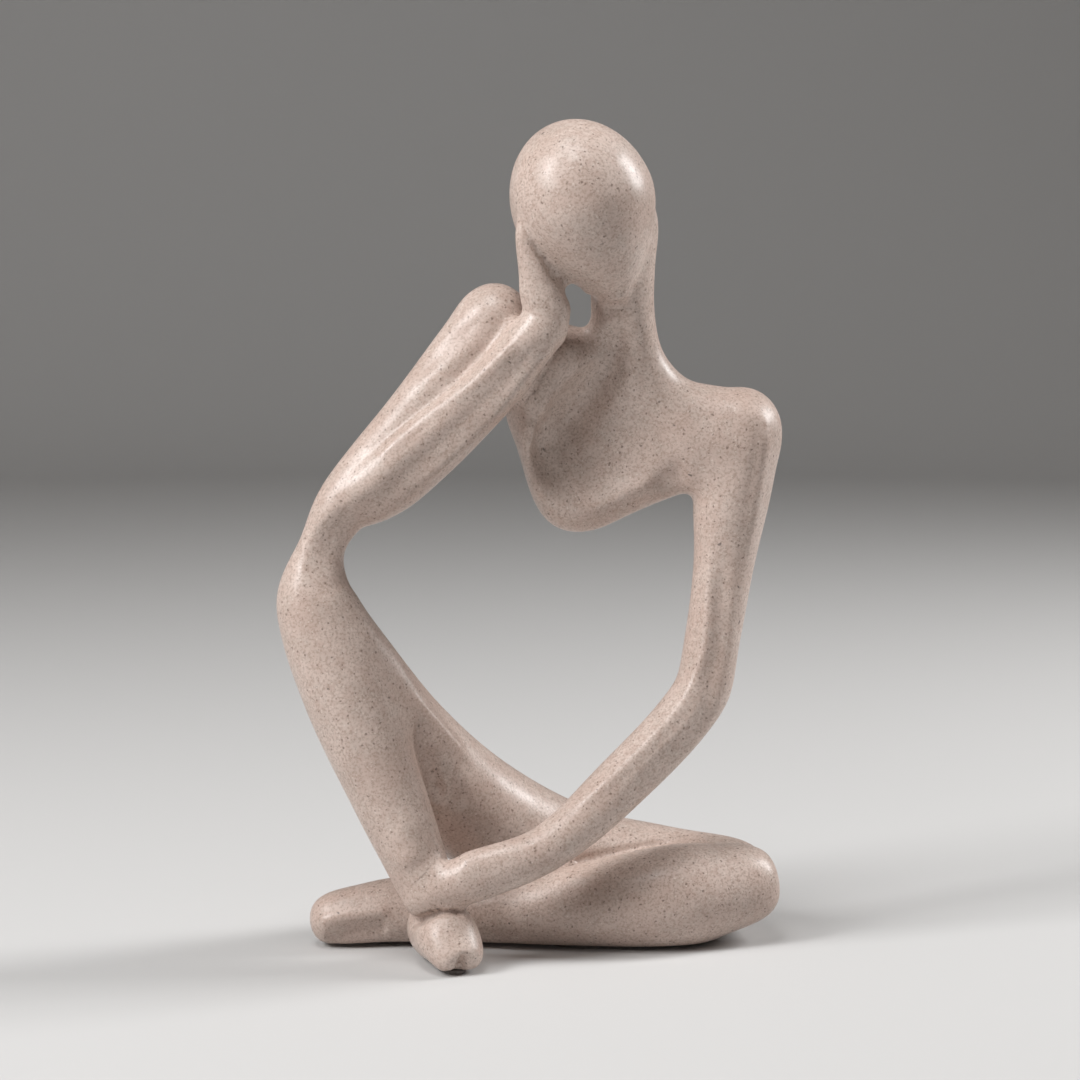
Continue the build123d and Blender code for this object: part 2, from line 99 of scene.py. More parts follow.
def remesh(obj, grid):
    modifier = obj.modifiers.new("remesh", "REMESH")
    modifier.mode = "VOXEL"
    modifier.voxel_size = grid
    applyModifiers(obj)


def readPoints(mesh, what):
    values = np.zeros(len(mesh.vertices) * 3, np.float32)
    mesh.vertices.foreach_get(what, values)
    return values.reshape(-1, 3).astype(float)


def writePoints(mesh, points):
    mesh.vertices.foreach_set("co", points.astype(np.float32).ravel())
    mesh.update()


# Moves the skin out by a share of the local fillet and an extra distance
def swell(obj, share, extra):
    points = readPoints(obj.data, "co")
    distance = np.full(len(points), figure["fillet"])
    for place, reach, radius in wideCorners:
        near = np.clip(1 - np.linalg.norm(points - np.array(place) * mm, axis=1) / (reach * mm), 0, 1)
        distance += (radius * mm - figure["fillet"]) * near * near * (3 - 2 * near)
    writePoints(obj.data, points + readPoints(obj.data, "normal") * (share * distance + extra)[:, None])


def polish(obj, rounds, factor=0.5):
    bm = bmesh.new()
    bm.from_mesh(obj.data)
    for _ in range(rounds):
        bmesh.ops.smooth_vert(bm, verts=bm.verts, factor=factor,
                              use_axis_x=True, use_axis_y=True, use_axis_z=True)
    bm.to_mesh(obj.data)
    bm.free()


def keepLargest(obj):
    bm = bmesh.new()
    bm.from_mesh(obj.data)
    waiting = set(bm.faces)
    islands = []
    while waiting:
        island = set()
        edge = [waiting.pop()]
        while edge:
            face = edge.pop()
            island.add(face)
            for side in face.edges:
                for other in side.link_faces:
                    if other in waiting:
                        waiting.remove(other)
                        edge.append(other)
        islands.append(island)
    islands.sort(key=len)
    for island in islands[:-1]:
        bmesh.ops.delete(bm, geom=list(island), context="FACES")
    bm.to_mesh(obj.data)
    bm.free()
    return len(islands)


castingTrees = {}
for castingName in figure["castings"]:
    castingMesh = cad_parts[castingName].data
    corners = [point.co for point in castingMesh.vertices]
    sides = [tuple(side.vertices) for side in castingMesh.polygons]
    castingTrees[castingName] = BVHTree.FromPolygons(corners, sides)


def nearestCasting(spot):
    gaps = [tree.find_nearest(spot)[3] for tree in castingTrees.values()]
    return gaps.index(min(gaps))


# A mark's line is given in mm and laid on the castings that it crosses
def curveThrough(spots, steps=20):
    spots = [np.array(spot, float) for spot in [spots[0]] + spots + [spots[-1]]]
    curve = []
    for before, start, end, after in zip(spots, spots[1:], spots[2:], spots[3:]):
        for t in np.arange(steps) / steps:
            curve.append(0.5 * (2 * start + (end - before) * t
                                + (2 * before - 5 * start + 4 * end - after) * t ** 2
                                + (3 * start - before - 3 * end + after) * t ** 3))
    return np.array(curve + [spots[-1]])


def layLine(mark):
    path = []
    for spot in curveThrough(mark["line"]) * mm:
        hits = [castingTrees[name].find_nearest(Vector(spot)) for name in mark["on"]]
        path.append(tuple(min(hits, key=lambda hit: hit[3])[0]))
    return np.array(path)


def markShare(points, mark):
    path = layLine(mark)
    reach = mark["reach"] * mm
    near = np.all((points > path.min(axis=0) - reach) & (points < path.max(axis=0) + reach), axis=1)
    labels = [figure["castings"].index(name) for name in mark["on"]]
    places = np.flatnonzero(near)
    places = np.array([place for place in places if nearestCasting(Vector(points[place])) in labels])
    gaps = np.full(len(places), np.inf)
    along = np.zeros(len(places))
    for index, spot in enumerate(path):
        gap = np.linalg.norm(points[places] - spot, axis=1)
        along[gap < gaps] = index / (len(path) - 1)
        gaps = np.minimum(gaps, gap)
    share = np.clip(1 - gaps / reach, 0, 1)
    fade = mark.get("fade", 0.0)  # part of the line over which each end dies away
    if fade:
        share *= np.clip(np.minimum(along, 1 - along) / fade, 0, 1)
    return places, share * share * (3 - 2 * share)


# Lifts are in mm, along the skin's normals or the mark's own way
def pressMarks(obj, marks):
    points = readPoints(obj.data, "co")
    normals = readPoints(obj.data, "normal")
    for mark in marks:
        places, share = markShare(points, mark)
        way = np.array(mark["way"]) if "way" in mark else normals[places]
        points[places] += way * (share * mark["lift"] * mm)[:, None]
    writePoints(obj.data, points)


# Draws each point towards the middle of its neighbours, where it has three or more
def softenMarks(obj, marks):
    points = readPoints(obj.data, "co")
    edges = np.zeros(len(obj.data.edges) * 2, np.int32)
    obj.data.edges.foreach_get("vertices", edges)
    edges = edges.reshape(-1, 2)
    for mark in marks:
        places, share = markShare(points, mark)
        order = np.full(len(points), -1)
        order[places] = np.arange(len(places))
        pairs = order[edges]
        pairs = pairs[(pairs >= 0).all(axis=1)]
        count = np.bincount(pairs.ravel(), minlength=len(places))
        moving = points[places]
        for _ in range(mark["rounds"]):
            for axis in range(3):
                total = np.bincount(pairs[:, 0], moving[pairs[:, 1], axis], len(places))
                total += np.bincount(pairs[:, 1], moving[pairs[:, 0], axis], len(places))
                moving[:, axis] += share * (total / np.maximum(count, 1) - moving[:, axis]) * (count > 2)
        points[places] = moving
    writePoints(obj.data, points)


# Broad shaping before the corners are filled
softForms = [
    # Upper end of the chest hollow
    {"on": ["torso"], "reach": 8.0, "rounds": 150,
     "line": [(8, -8, 181), (14, -5.5, 188), (25, -6, 188), (37, -6, 182)]},
    # Rim of the chest hollow below the wrist
    {"on": ["torso"], "reach": 5.0, "rounds": 60,
     "line": [(3, -9, 168), (7, -8, 176), (11, -8, 183)]},
    # Chest hollow to shoulder
    {"on": ["torso"], "reach": 14.0, "rounds": 300,
     "line": [(37, -6, 182), (50, -7.5, 172), (55, -10, 160), (50, -7, 150)]},
    # Lower corner of the chest hollow
    {"on": ["torso"], "reach": 4.5, "rounds": 60,
     "line": [(2, -3, 151), (5, -3, 146), (10, -4, 142)]},
    # Level top of the shoulder
    {"on": ["torso", "left_arm"], "reach": 9.0, "rounds": 150,
     "line": [(50, -3, 180), (58, -3, 178), (64, -3, 177.5), (70, -4, 175)]},
    # Back of the hand to the shin
    {"on": ["left_arm", "raised_leg"], "reach": 7.0, "rounds": 150,
     "line": [(-25, -31, 33), (-29, -31, 31), (-34, -31, 28), (-38, -30, 24)]},
]
broadForms = [
    # Bank below the wrist
    {"on": ["torso"], "lift": 3.0, "reach": 9.0,
     "line": [(2, -9, 173), (6, -9, 181), (11, -7, 188)]},
    # Rim of the chest hollow
    {"on": ["torso"], "lift": 2.4, "reach": 6.5, "fade": 0.15, "way": (0, -1, 0),
     "line": [(3, -4.5, 141), (1, -3.5, 148), (-1, -4, 156), (-1, -6, 163), (1, -9, 170)]},
    # Furrow from the throat into the chest
    {"on": ["torso", "head"], "lift": -4.2, "reach": 9.0, "fade": 0.25,
     "line": [(30, -9.5, 204), (27.5, -7.5, 192), (24, -5, 183), (18, -3, 173), (12.5, -1, 163),
              (10, -1, 152)]},
    # Hollow over the armpit
    {"on": ["torso", "left_arm"], "lift": -1.8, "reach": 8.0, "fade": 0.3,
     "line": [(50, -8, 150), (46, -8, 149), (42, -7, 147), (36, -6, 144)]},
    # Lower shin, level with the hand
    {"on": ["raised_leg"], "lift": 1.2, "reach": 8.0, "fade": 0.3,
     "line": [(-40, -27, 48), (-37, -29, 38), (-36, -30, 30)]},
]

skin = joinCopies("skin", figure["castings"] + figure["inside"])
remesh(skin, figure["grid"])
print("skin fused:", len(skin.data.vertices), "points,", keepLargest(skin), "shells")
softenMarks(skin, softForms)
pressMarks(skin, broadForms)
for share, extra in ((1, 0), (-1, -figure["rounding"]), (0, figure["rounding"])):
    swell(skin, share, extra)
    remesh(skin, figure["grid"])
print("skin filleted:", len(skin.data.vertices), "points,", keepLargest(skin), "shells")
polish(skin, figure["polish"])


# Each face of the skin belongs to the casting that lies nearest, with ragged seams evened out
def faceNeighbours(mesh):
    edgeFaces = {}
    for face in mesh.polygons:
        for key in face.edge_keys:
            edgeFaces.setdefault(key, []).append(face.index)
    pairs = [faces for faces in edgeFaces.values() if len(faces) == 2]
    return np.array(pairs)


def evenLabels(labels, pairs, kinds, rounds):
    for _ in range(rounds):
        votes = np.zeros((len(labels), kinds))
        votes[np.arange(len(labels)), labels] += figure["ownVote"]
        np.add.at(votes, (pairs[:, 0], labels[pairs[:, 1]]), 1)
        np.add.at(votes, (pairs[:, 1], labels[pairs[:, 0]]), 1)
        labels = votes.argmax(axis=1)
    return labels


# Loose patches go to the piece around them
def joinPatches(labels, pairs, kinds):
    same = pairs[labels[pairs[:, 0]] == labels[pairs[:, 1]]]
    patch = np.arange(len(labels))
    before = None
    while before is None or (patch != before).any():
        before = patch.copy()
        low = np.minimum(patch[same[:, 0]], patch[same[:, 1]])
        np.minimum.at(patch, same[:, 0], low)
        np.minimum.at(patch, same[:, 1], low)
        patch = patch[patch]
    loose = np.ones(len(labels), bool)
    for kind in range(kinds):
        numbers = np.bincount(patch[labels == kind])
        loose &= patch != numbers.argmax()
    while loose.any():
        for first, second in ((0, 1), (1, 0)):
            edge = pairs[loose[pairs[:, first]] & ~loose[pairs[:, second]]]
            labels[edge[:, first]] = labels[edge[:, second]]
            loose[edge[:, first]] = False
    return labels


faceLabels = np.array([nearestCasting(face.center) for face in skin.data.polygons])
facePairs = faceNeighbours(skin.data)
faceLabels = evenLabels(faceLabels, facePairs, len(castingTrees), figure["seamRounds"])
faceLabels = joinPatches(faceLabels, facePairs, len(castingTrees))
print("skin shared out:", np.bincount(faceLabels).tolist(), "faces")


# Tool marks in the skin: lines, how far they lift it and how wide they reach
toolMarks = [
    # Upper ridge of the bent forearm
    {"on": ["right_arm"], "lift": 0.8, "reach": 4.0, "fade": 0.15,
     "line": [(-2, -22, 194), (-10, -21, 186), (-19, -21, 178), (-30, -20.5, 170), (-39, -22, 163),
              (-47, -23, 155)]},
    # Groove from wrist to elbow
    {"on": ["right_arm", "raised_leg"], "lift": -1.6, "reach": 7.0, "fade": 0.1,
     "line": [(6, -22, 194), (-5, -23, 182), (-15, -23, 172), (-24, -24, 163), (-35, -24, 153),
              (-43, -23.5, 145), (-52, -21, 138), (-60, -20, 132), (-63, -20, 126),
              (-64, -21, 121)]},
    # Hollow of the elbow
    {"on": ["right_arm", "raised_leg"], "lift": -1.0, "reach": 5.0, "fade": 0.25,
     "line": [(-57, -20, 134), (-61, -20, 130), (-63, -20, 125), (-64, -21, 121)]},
    # Lower edge of the bent forearm
    {"on": ["right_arm"], "lift": 0.5, "reach": 3.0, "fade": 0.15,
     "line": [(7, -19, 189), (-3, -21, 178.5), (-10, -20.5, 169), (-24, -21.5, 156),
              (-36, -22, 146)]},
    # Flat of the upper arm
    {"on": ["right_arm"], "lift": -0.8, "reach": 6.0, "fade": 0.3,
     "line": [(-13, -11.5, 199.5), (-21, -12, 193), (-29, -12.5, 186), (-36.5, -13, 178)]},
    # Edge of the hand
    {"on": ["right_arm"], "lift": 0.5, "reach": 2.5, "fade": 0.3,
     "line": [(8, -19.5, 209), (10, -20, 204), (11.5, -18.5, 199)]},
    # Crease between hand and cheek
    {"on": ["head", "right_arm"], "lift": -1.3, "reach": 2.6, "fade": 0.25,
     "line": [(0.5, -20, 224), (2.7, -20, 219.5), (7.3, -20, 213.2), (10.3, -19, 209.8)]},
    # Edge of the chin
    {"on": ["head"], "lift": 0.9, "reach": 3.0, "fade": 0.3,
     "line": [(20.5, -6, 205.5), (25, -11, 205), (31.5, -10.5, 207.5)]},
    # Hollow between chin and throat
    {"on": ["head", "torso"], "lift": -1.6, "reach": 4.0, "fade": 0.3,
     "line": [(22, -7, 202), (26.5, -9.5, 201), (32, -9.5, 203)]},
    # Inner edge of the propping arm
    {"on": ["left_arm", "torso"], "lift": 0.8, "reach": 3.2, "fade": 0.15,
     "line": [(56.5, -8, 136), (55.5, -9, 115), (54.5, -12, 99), (52, -13, 90), (46.5, -16, 79),
              (39, -18.5, 70.5), (30, -22, 62), (22, -24.5, 55), (14, -26.5, 49)]},
    # Flat front of the propping arm
    {"on": ["left_arm", "torso"], "lift": -0.9, "reach": 4.5, "fade": 0.15,
     "line": [(61, -9.5, 133), (60, -10, 115), (59, -12, 98.5), (56.5, -14, 87), (54, -15.5, 75.5),
              (48, -18, 68), (41, -20.5, 62.5), (34, -23, 55.5), (26, -25.5, 49)]},
    # Edge of the shoulder cap
    {"on": ["torso", "left_arm"], "lift": 0.8, "reach": 4.0, "fade": 0.25,
     "line": [(72, -6.5, 170), (72.5, -8, 156), (70.5, -7.5, 142), (68, -7.5, 122)]},
    # Edge along the raised thigh
    {"on": ["raised_leg"], "lift": 0.9, "reach": 4.0, "fade": 0.3,
     "line": [(-36, -14, 83), (-29, -10.5, 73), (-23, -7.5, 65), (-18, -5, 58)]},
    # Side of the raised thigh
    {"on": ["raised_leg"], "lift": -1.0, "reach": 6.0, "fade": 0.2,
     "line": [(-30.5, -13.5, 66.5), (-26, -10.5, 55), (-21, -7, 44)]},
    # Crevice between shin and thigh
    {"on": ["raised_leg"], "lift": -2.2, "reach": 5.0, "fade": 0.2,
     "line": [(-36, -16, 78), (-33.5, -14.5, 67), (-30.5, -11.5, 56), (-27.5, -8, 46)]},
    # Undercut below the fingers, over the foot
    {"on": ["raised_leg"], "lift": -3.0, "reach": 3.4, "fade": 0.15,
     "line": [(-37.5, -22, 12), (-33, -31, 16), (-28.5, -32, 18.5), (-23, -31.5, 19.5),
              (-19.5, -30, 18)]},
    # Nick in the toes
    {"on": ["raised_leg"], "lift": -3.0, "reach": 2.4,
     "line": [(-19.8, -41, 6), (-20, -41, 4), (-20.5, -39, 1)]},
    # Flat beside the nick
    {"on": ["raised_leg"], "lift": -0.8, "reach": 4.0,
     "line": [(-22, -40.5, 4), (-23, -38.5, 1.5)]},
    # Crease between calf and folded thigh
    {"on": ["folded_leg"], "lift": -1.0, "reach": 2.4, "fade": 0.2,
     "line": [(9.5, -2, 24.5), (14.5, 6, 24.5), (22, 8, 26), (32, 9, 28.5), (41.5, 10.5, 30),
              (48.5, 10.5, 30.5)]},
    # Upper edge of the folded foot
    {"on": ["folded_leg"], "lift": 0.9, "reach": 3.2, "fade": 0.15,
     "line": [(-66.5, -9.5, 9), (-57.5, -10.5, 11.5), (-43, -9.5, 13)]},
    # Upright front of the folded foot
    {"on": ["folded_leg"], "lift": -1.3, "reach": 4.5, "fade": 0.15,
     "line": [(-64.5, -8, 3), (-55, -10, 6), (-44, -9, 7)]},
]
softRims = [
    # Bank below the wrist
    {"on": ["torso"], "reach": 6.0, "rounds": 60,
     "line": [(1, -11, 170), (4, -11, 174), (8, -11, 180)]},
    # Shin above the crevice
    {"on": ["raised_leg"], "reach": 8.0, "rounds": 160,
     "line": [(-46, -19, 96), (-43, -19, 89), (-40.5, -18.5, 82), (-38.5, -17.5, 76)]},
    # Edge of the shin over the crevice
    {"on": ["raised_leg"], "reach": 4.5, "rounds": 60,
     "line": [(-40, -18, 80), (-39, -18, 76), (-37, -18.5, 68), (-34, -20, 57), (-31, -21, 49),
              (-29, -24, 41)]},
    # Hollow of the elbow
    {"on": ["right_arm", "raised_leg"], "reach": 7.0, "rounds": 80,
     "line": [(-55, -20, 136), (-61, -20, 130), (-64, -21, 121)]},
    # Opening below the chin
    {"on": ["right_arm", "head", "torso"], "reach": 5.0, "rounds": 50,
     "line": [(11, -19.5, 204), (13, -19, 209), (16.5, -18, 210), (20.5, -11.5, 206),
              (20.5, -4.5, 199), (17.5, 0, 194.5), (13, 0, 195.5)]},
]
pressMarks(skin, toolMarks)
softenMarks(skin, softRims)
polish(skin, figure["lastPolish"])
print("tool marks pressed:", len(toolMarks))


def cutPiece(name, label):
    bm = bmesh.new()
    bm.from_mesh(skin.data)
    bm.faces.ensure_lookup_table()
    others = [face for face in bm.faces if faceLabels[face.index] != label]
    bmesh.ops.delete(bm, geom=others, context="FACES")
    for face in bm.faces:
        face.smooth = True
    rim = [edge for edge in bm.edges if edge.is_boundary]
    for edge in rim:
        edge.smooth = False
    caps = bmesh.ops.holes_fill(bm, edges=rim, sides=0)["faces"]
    for cap in caps:
        cap.smooth = False
    bmesh.ops.triangulate(bm, faces=caps, quad_method="BEAUTY", ngon_method="BEAUTY")
    mesh = bpy.data.meshes.new(name)
    bm.to_mesh(mesh)
    bm.free()
    return newObject(name, mesh)


castPieces = []
for label, castingName in enumerate(figure["castings"]):
    piece = cutPiece(castingName + "Cast", label)
    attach(piece, "root")
    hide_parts(castingName)
    castPieces.append(piece)
    print("piece", piece.name, len(piece.data.polygons), "faces")
bpy.data.objects.remove(skin)


# Felt pads: the punched discs under the feet and the folded leg, with a softened lower rim
pads = {
    "nodes": ["raised_foot_pad", "calf_pad", "thigh_pad", "folded_foot_pad"],
    "rim": 0.25 * mm,       # rounding of the lower rim
    "segments": 3,
    "flatAngle": 2,         # degrees within which faces become one
    "level": 0.01 * mm,     # height within which points lie on the underside
    "upright": 0.9,         # faces that look less up or down than this are shaded round
}
padPieces = []
for padName in pads["nodes"]:
    bm = bmesh.new()
    bm.from_mesh(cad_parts[padName].data)
    bmesh.ops.remove_doubles(bm, verts=bm.verts, dist=weld)
    bmesh.ops.dissolve_limit(bm, angle_limit=radians(pads["flatAngle"]), verts=bm.verts, edges=bm.edges)
    lowest = min(point.co.z for point in bm.verts)
    rimTop = lowest + pads["level"]
    lowerRim = [edge for edge in bm.edges if all(point.co.z < rimTop for point in edge.verts)]
    bmesh.ops.bevel(bm, geom=lowerRim, offset=pads["rim"], offset_type="OFFSET", affect="EDGES",
                    segments=pads["segments"], profile=0.5, material=-1)
    for face in bm.faces:
        face.smooth = abs(face.normal.z) < pads["upright"]
    padMesh = bpy.data.meshes.new(padName + "Felt")
    bm.to_mesh(padMesh)
    bm.free()
    pad = newObject(padName + "Felt", padMesh)
    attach(pad, "root")
    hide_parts(padName)
    padPieces.append(pad)
print("felt pads:", len(padPieces))


# Finishes
def newGroup(name, numbers, output):
    group = bpy.data.node_groups.new(name, "ShaderNodeTree")
    for label, value in numbers.items():
        socket = group.interface.new_socket(label, in_out="INPUT", socket_type="NodeSocketFloat")
        socket.default_value = value
    kind = "NodeSocketVector" if output == "Normal" else "NodeSocketFloat"
    group.interface.new_socket(output, in_out="OUTPUT", socket_type=kind)
    return group, group.nodes.new("NodeGroupInput"), group.nodes.new("NodeGroupOutput")


def addNode(tree, kind, settings=None, **values):
    node = tree.nodes.new("ShaderNode" + kind)
    for label, value in (settings or {}).items():
        setattr(node, label, value)
    for label, value in values.items():
        node.inputs[label.replace("_", " ")].default_value = value
    return node


# Object coordinates counted in grains of a given size in mm
def grainCoordinates(tree, sizeSocket):
    place = addNode(tree, "TexCoord")
    count = addNode(tree, "Math", {"operation": "DIVIDE"})
    count.inputs[0].default_value = 1 / mm
    tree.links.new(sizeSocket, count.inputs[1])
    grains = addNode(tree, "VectorMath", {"operation": "SCALE"})
    tree.links.new(place.outputs["Object"], grains.inputs[0])
    tree.links.new(count.outputs[0], grains.inputs["Scale"])
    return grains.outputs[0]


# Soft clouds from 0 to 1
cloudGroup, groupIn, groupOut = newGroup("softClouds", {"Size": 20, "Low": 0.35, "High": 0.65}, "Value")
noise = addNode(cloudGroup, "TexNoise", Scale=1.0, Detail=3.0, Roughness=0.55)
cloudGroup.links.new(grainCoordinates(cloudGroup, groupIn.outputs["Size"]), noise.inputs["Vector"])
spread = addNode(cloudGroup, "MapRange", {"interpolation_type": "SMOOTHSTEP"})
cloudGroup.links.new(noise.outputs["Fac"], spread.inputs["Value"])
cloudGroup.links.new(groupIn.outputs["Low"], spread.inputs["From Min"])
cloudGroup.links.new(groupIn.outputs["High"], spread.inputs["From Max"])
cloudGroup.links.new(spread.outputs["Result"], groupOut.inputs["Value"])

# Scattered specks: one in each cell of the given size, some cells left empty
speckShape = {"warp": 0.5, "core": 0.45}
speckNumbers = {"Cell": 1.5, "Radius": 0.2, "Share": 0.5}
speckGroup, groupIn, groupOut = newGroup("scatteredSpecks", speckNumbers, "Mask")
grains = grainCoordinates(speckGroup, groupIn.outputs["Cell"])
warp = addNode(speckGroup, "TexNoise", Scale=2.2, Detail=1.0)
speckGroup.links.new(grains, warp.inputs["Vector"])
shake = addNode(speckGroup, "VectorMath", {"operation": "MULTIPLY_ADD"})
shake.inputs[1].default_value = [speckShape["warp"]] * 3
speckGroup.links.new(warp.outputs["Color"], shake.inputs[0])
speckGroup.links.new(grains, shake.inputs[2])
cells = addNode(speckGroup, "TexVoronoi", Scale=1.0)
speckGroup.links.new(shake.outputs[0], cells.inputs["Vector"])
inner = addNode(speckGroup, "Math", {"operation": "MULTIPLY"})
inner.inputs[1].default_value = speckShape["core"]
speckGroup.links.new(groupIn.outputs["Radius"], inner.inputs[0])
disc = addNode(speckGroup, "MapRange", {"interpolation_type": "SMOOTHSTEP"})
speckGroup.links.new(cells.outputs["Distance"], disc.inputs["Value"])
speckGroup.links.new(groupIn.outputs["Radius"], disc.inputs["From Min"])
speckGroup.links.new(inner.outputs[0], disc.inputs["From Max"])
chance = addNode(speckGroup, "SeparateColor")
speckGroup.links.new(cells.outputs["Color"], chance.inputs[0])
filled = addNode(speckGroup, "Math", {"operation": "LESS_THAN"})
speckGroup.links.new(chance.outputs[0], filled.inputs[0])
speckGroup.links.new(groupIn.outputs["Share"], filled.inputs[1])
speck = addNode(speckGroup, "Math", {"operation": "MULTIPLY"})
speckGroup.links.new(disc.outputs["Result"], speck.inputs[0])
speckGroup.links.new(filled.outputs[0], speck.inputs[1])
speckGroup.links.new(speck.outputs[0], groupOut.inputs["Mask"])

# Fine relief as a normal, with grains of the given size and height in mm
reliefGroup, groupIn, groupOut = newGroup("fineRelief", {"Size": 0.6, "Height": 0.02}, "Normal")
noise = addNode(reliefGroup, "TexNoise", Scale=1.0, Detail=3.0, Roughness=0.6)
reliefGroup.links.new(grainCoordinates(reliefGroup, groupIn.outputs["Size"]), noise.inputs["Vector"])
height = addNode(reliefGroup, "Math", {"operation": "MULTIPLY"})
height.inputs[1].default_value = mm
reliefGroup.links.new(groupIn.outputs["Height"], height.inputs[0])
bump = addNode(reliefGroup, "Bump", Strength=1.0)
reliefGroup.links.new(noise.outputs["Fac"], bump.inputs["Height"])
reliefGroup.links.new(height.outputs[0], bump.inputs["Distance"])
reliefGroup.links.new(bump.outputs["Normal"], groupOut.inputs["Normal"])
print("finish groups:", cloudGroup.name, speckGroup.name, reliefGroup.name)


def newMaterial(name):
    material = bpy.data.materials.new(name)
    material.use_nodes = True
    return material, material.node_tree, material.node_tree.nodes["Principled BSDF"]


def addGroup(tree, group, **numbers):
    node = tree.nodes.new("ShaderNodeGroup")
    node.node_tree = group
    for label, value in numbers.items():
        node.inputs[label].default_value = value
    return node.outputs[0]


def mixColour(tree, share, first, second, amount=1.0):
    mix = addNode(tree, "Mix", {"data_type": "RGBA"})
    weight = addNode(tree, "Math", {"operation": "MULTIPLY"})
    weight.inputs[1].default_value = amount
    tree.links.new(share, weight.inputs[0])
    tree.links.new(weight.outputs[0], mix.inputs[0])
    for socket, colour in ((mix.inputs[mixFirst], first), (mix.inputs[mixSecond], second)):
        if isinstance(colour, tuple):
            socket.default_value = colour
        else:
            tree.links.new(colour, socket)
    return mix.outputs[mixResult]


def mapValue(tree, value, low, high):
    spread = addNode(tree, "MapRange", To_Min=low, To_Max=high)
    tree.links.new(value, spread.inputs["Value"])
    return spread.outputs["Result"]


# Satin stone-coloured coat with sand specks
resin = {
    "pale": (0.625, 0.508, 0.45, 1),
    "rosy": (0.50, 0.37, 0.315, 1),
    "grey": (0.49, 0.41, 0.36, 1),
    "umber": (0.33, 0.235, 0.185, 1),
    "brownSpeck": (0.17, 0.115, 0.09, 1),
    "darkSpeck": (0.07, 0.05, 0.042, 1),
    "paleSpeck": (0.76, 0.70, 0.64, 1),
    "roughness": (0.34, 0.46),
    "gloss": {"Size": 9, "Low": 0.35, "High": 0.7},
    "relief": {"Size": 0.7, "Height": 0.018},
    # Clouds: size in mm, low, high, tone and amount
    "clouds": [
        (24, 0.38, 0.66, "rosy", 0.6),
        (7, 0.42, 0.72, "grey", 0.45),
        (2.4, 0.42, 0.68, "rosy", 0.55),
        (0.8, 0.42, 0.68, "umber", 0.6),
    ],
    # Specks: cell in mm, radius and share of filled cells, tone and amount
    "specks": [
        (1.2, 0.28, 0.4, "paleSpeck", 0.4),
        (1.0, 0.3, 0.5, "brownSpeck", 0.4),
        (1.9, 0.24, 0.5, "brownSpeck", 0.75),
        (5.5, 0.1, 0.4, "darkSpeck", 0.7),
    ],
}
resinMaterial, tree, shader = newMaterial("sandstoneResin")
colour = resin["pale"]
for size, low, high, tone, amount in resin["clouds"]:
    clouds = addGroup(tree, cloudGroup, Size=size, Low=low, High=high)
    colour = mixColour(tree, clouds, colour, resin[tone], amount)
for cell, radius, filled, tone, amount in resin["specks"]:
    specks = addGroup(tree, speckGroup, Cell=cell, Radius=radius, Share=filled)
    colour = mixColour(tree, specks, colour, resin[tone], amount)
tree.links.new(colour, shader.inputs["Base Color"])
gloss = mapValue(tree, addGroup(tree, cloudGroup, **resin["gloss"]), *resin["roughness"])
tree.links.new(gloss, shader.inputs["Roughness"])
tree.links.new(addGroup(tree, reliefGroup, **resin["relief"]), shader.inputs["Normal"])
for piece in castPieces:
    piece.data.materials.clear()
    piece.data.materials.append(resinMaterial)

# Bright drawn steel of the dowels and the arm core
steel = {
    "bright": (0.60, 0.60, 0.61, 1),
    "dull": (0.42, 0.42, 0.43, 1),
    "roughness": (0.25, 0.45),
    "metallic": 1.0,
    "clouds": {"Size": 3, "Low": 0.35, "High": 0.7},
    "relief": {"Size": 0.4, "Height": 0.01},
}
steelMaterial, tree, shader = newMaterial("drawnSteel")
shader.inputs["Metallic"].default_value = steel["metallic"]
clouds = addGroup(tree, cloudGroup, **steel["clouds"])
tree.links.new(mixColour(tree, clouds, steel["bright"], steel["dull"]), shader.inputs["Base Color"])
tree.links.new(mapValue(tree, clouds, *steel["roughness"]), shader.inputs["Roughness"])
tree.links.new(addGroup(tree, reliefGroup, **steel["relief"]), shader.inputs["Normal"])
for nodeName in figure["inside"]:
    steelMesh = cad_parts[nodeName].data
    steelMesh.materials.clear()
    steelMesh.materials.append(steelMaterial)

# Brown-grey needled felt
felt = {
    "wool": (0.14, 0.122, 0.113, 1),
    "worn": (0.19, 0.167, 0.155, 1),
    "hair": (0.28, 0.25, 0.23, 1),
    "roughness": 0.95,
    "sheen": 0.3,
    "clouds": {"Size": 1.2, "Low": 0.35, "High": 0.7},
    "hairs": {"Cell": 0.8, "Radius": 0.2, "Share": 0.4},
    "hairAmount": 0.5,
    "relief": {"Size": 0.35, "Height": 0.12},
}
feltMaterial, tree, shader = newMaterial("needledFelt")
shader.inputs["Roughness"].default_value = felt["roughness"]
shader.inputs["Sheen Weight"].default_value = felt["sheen"]
colour = mixColour(tree, addGroup(tree, cloudGroup, **felt["clouds"]), felt["wool"], felt["worn"])
hairs = addGroup(tree, speckGroup, **felt["hairs"])
colour = mixColour(tree, hairs, colour, felt["hair"], felt["hairAmount"])
tree.links.new(colour, shader.inputs["Base Color"])
tree.links.new(addGroup(tree, reliefGroup, **felt["relief"]), shader.inputs["Normal"])
for pad in padPieces:
    pad.data.materials.clear()
    pad.data.materials.append(feltMaterial)
print("finishes: resin, steel, felt")


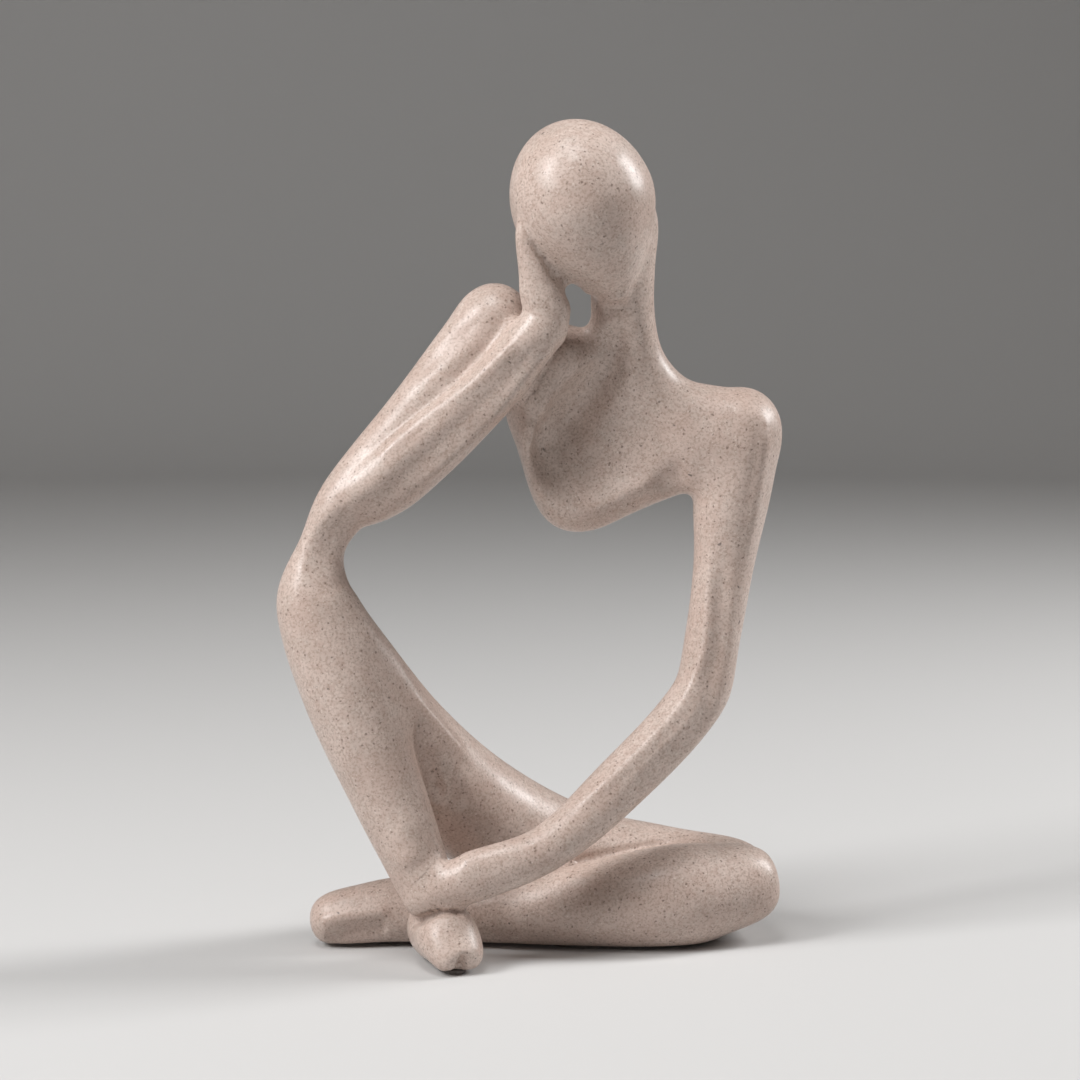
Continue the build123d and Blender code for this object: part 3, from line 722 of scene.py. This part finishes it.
# Floor that sweeps up into a round backdrop, light and camera
stage = {
    "floorRadius": 1.9,
    "sweepRadius": 0.7,
    "sweepSteps": 10,
    "wall": 1.2,
    "around": 128,
    "colour": (0.56, 0.555, 0.55, 1),
    "roughness": 0.8,
    "aim": (0, 0, 0.13),
    "worldColour": (1.0, 0.88, 0.78, 1),
    "worldStrength": 0.08,
}
bm = bmesh.new()
bmesh.ops.create_circle(bm, cap_ends=True, segments=stage["around"], radius=stage["floorRadius"])
edges = [edge for edge in bm.edges if edge.is_boundary]
turns = [radians(90) * step / stage["sweepSteps"] for step in range(stage["sweepSteps"] + 1)]
rings = []
for turn in turns:
    rings.append((stage["floorRadius"] + stage["sweepRadius"] * sin(turn),
                  stage["sweepRadius"] * (1 - cos(turn))))
rings.append((rings[-1][0], rings[-1][1] + stage["wall"]))
for (radius, height), (nextRadius, nextHeight) in zip(rings, rings[1:]):
    grown = bmesh.ops.extrude_edge_only(bm, edges=edges)["geom"]
    points = [item for item in grown if isinstance(item, bmesh.types.BMVert)]
    edges = [item for item in grown if isinstance(item, bmesh.types.BMEdge)]
    scale = nextRadius / radius
    bmesh.ops.scale(bm, vec=(scale, scale, 1), verts=points)
    bmesh.ops.translate(bm, vec=(0, 0, nextHeight - height), verts=points)
bmesh.ops.recalc_face_normals(bm, faces=bm.faces)
for face in bm.faces:
    face.smooth = True
floorMesh = bpy.data.meshes.new("floor")
bm.to_mesh(floorMesh)
bm.free()
floor = newObject("floor", floorMesh)
floorMaterial, tree, shader = newMaterial("paleFloor")
shader.inputs["Base Color"].default_value = stage["colour"]
shader.inputs["Roughness"].default_value = stage["roughness"]
floorMesh.materials.append(floorMaterial)

world = bpy.data.worlds.new("studio")
world.use_nodes = True
world.node_tree.nodes["Background"].inputs["Color"].default_value = stage["worldColour"]
world.node_tree.nodes["Background"].inputs["Strength"].default_value = stage["worldStrength"]
scene.world = world

lamps = {
    "leftBox": {"place": (-1.0, -0.55, 0.95), "wide": 0.45, "tall": 0.7, "power": 17},
    "rightBox": {"place": (1.1, 0.3, 0.85), "wide": 0.3, "tall": 0.7, "power": 15},
    "topBox": {"place": (-0.2, -0.35, 1.25), "wide": 0.5, "tall": 0.5, "power": 6},
}
aim = Vector(stage["aim"])
for lampName, lamp in lamps.items():
    light = bpy.data.lights.new(lampName, "AREA")
    light.shape = "RECTANGLE"
    light.size = lamp["wide"]
    light.size_y = lamp["tall"]
    light.energy = lamp["power"]
    lampObject = bpy.data.objects.new(lampName, light)
    lampObject.location = lamp["place"]
    lampObject.rotation_euler = (aim - Vector(lamp["place"])).to_track_quat("-Z", "Y").to_euler()
    scene.collection.objects.link(lampObject)

view = {"place": (0.0033, -0.795, 0.2126), "pitch": 6.0, "lens": 85.0, "sensor": 36.0, "near": 0.01}
cameraData = bpy.data.cameras.new("camera")
cameraData.lens = view["lens"]
cameraData.sensor_width = view["sensor"]
cameraData.sensor_fit = "HORIZONTAL"
cameraData.clip_start = view["near"]
camera = bpy.data.objects.new("camera", cameraData)
camera.location = view["place"]
camera.rotation_euler = (radians(90 - view["pitch"]), 0, 0)
scene.collection.objects.link(camera)
scene.camera = camera

scene.view_settings.view_transform = "Standard"
print("stage set")
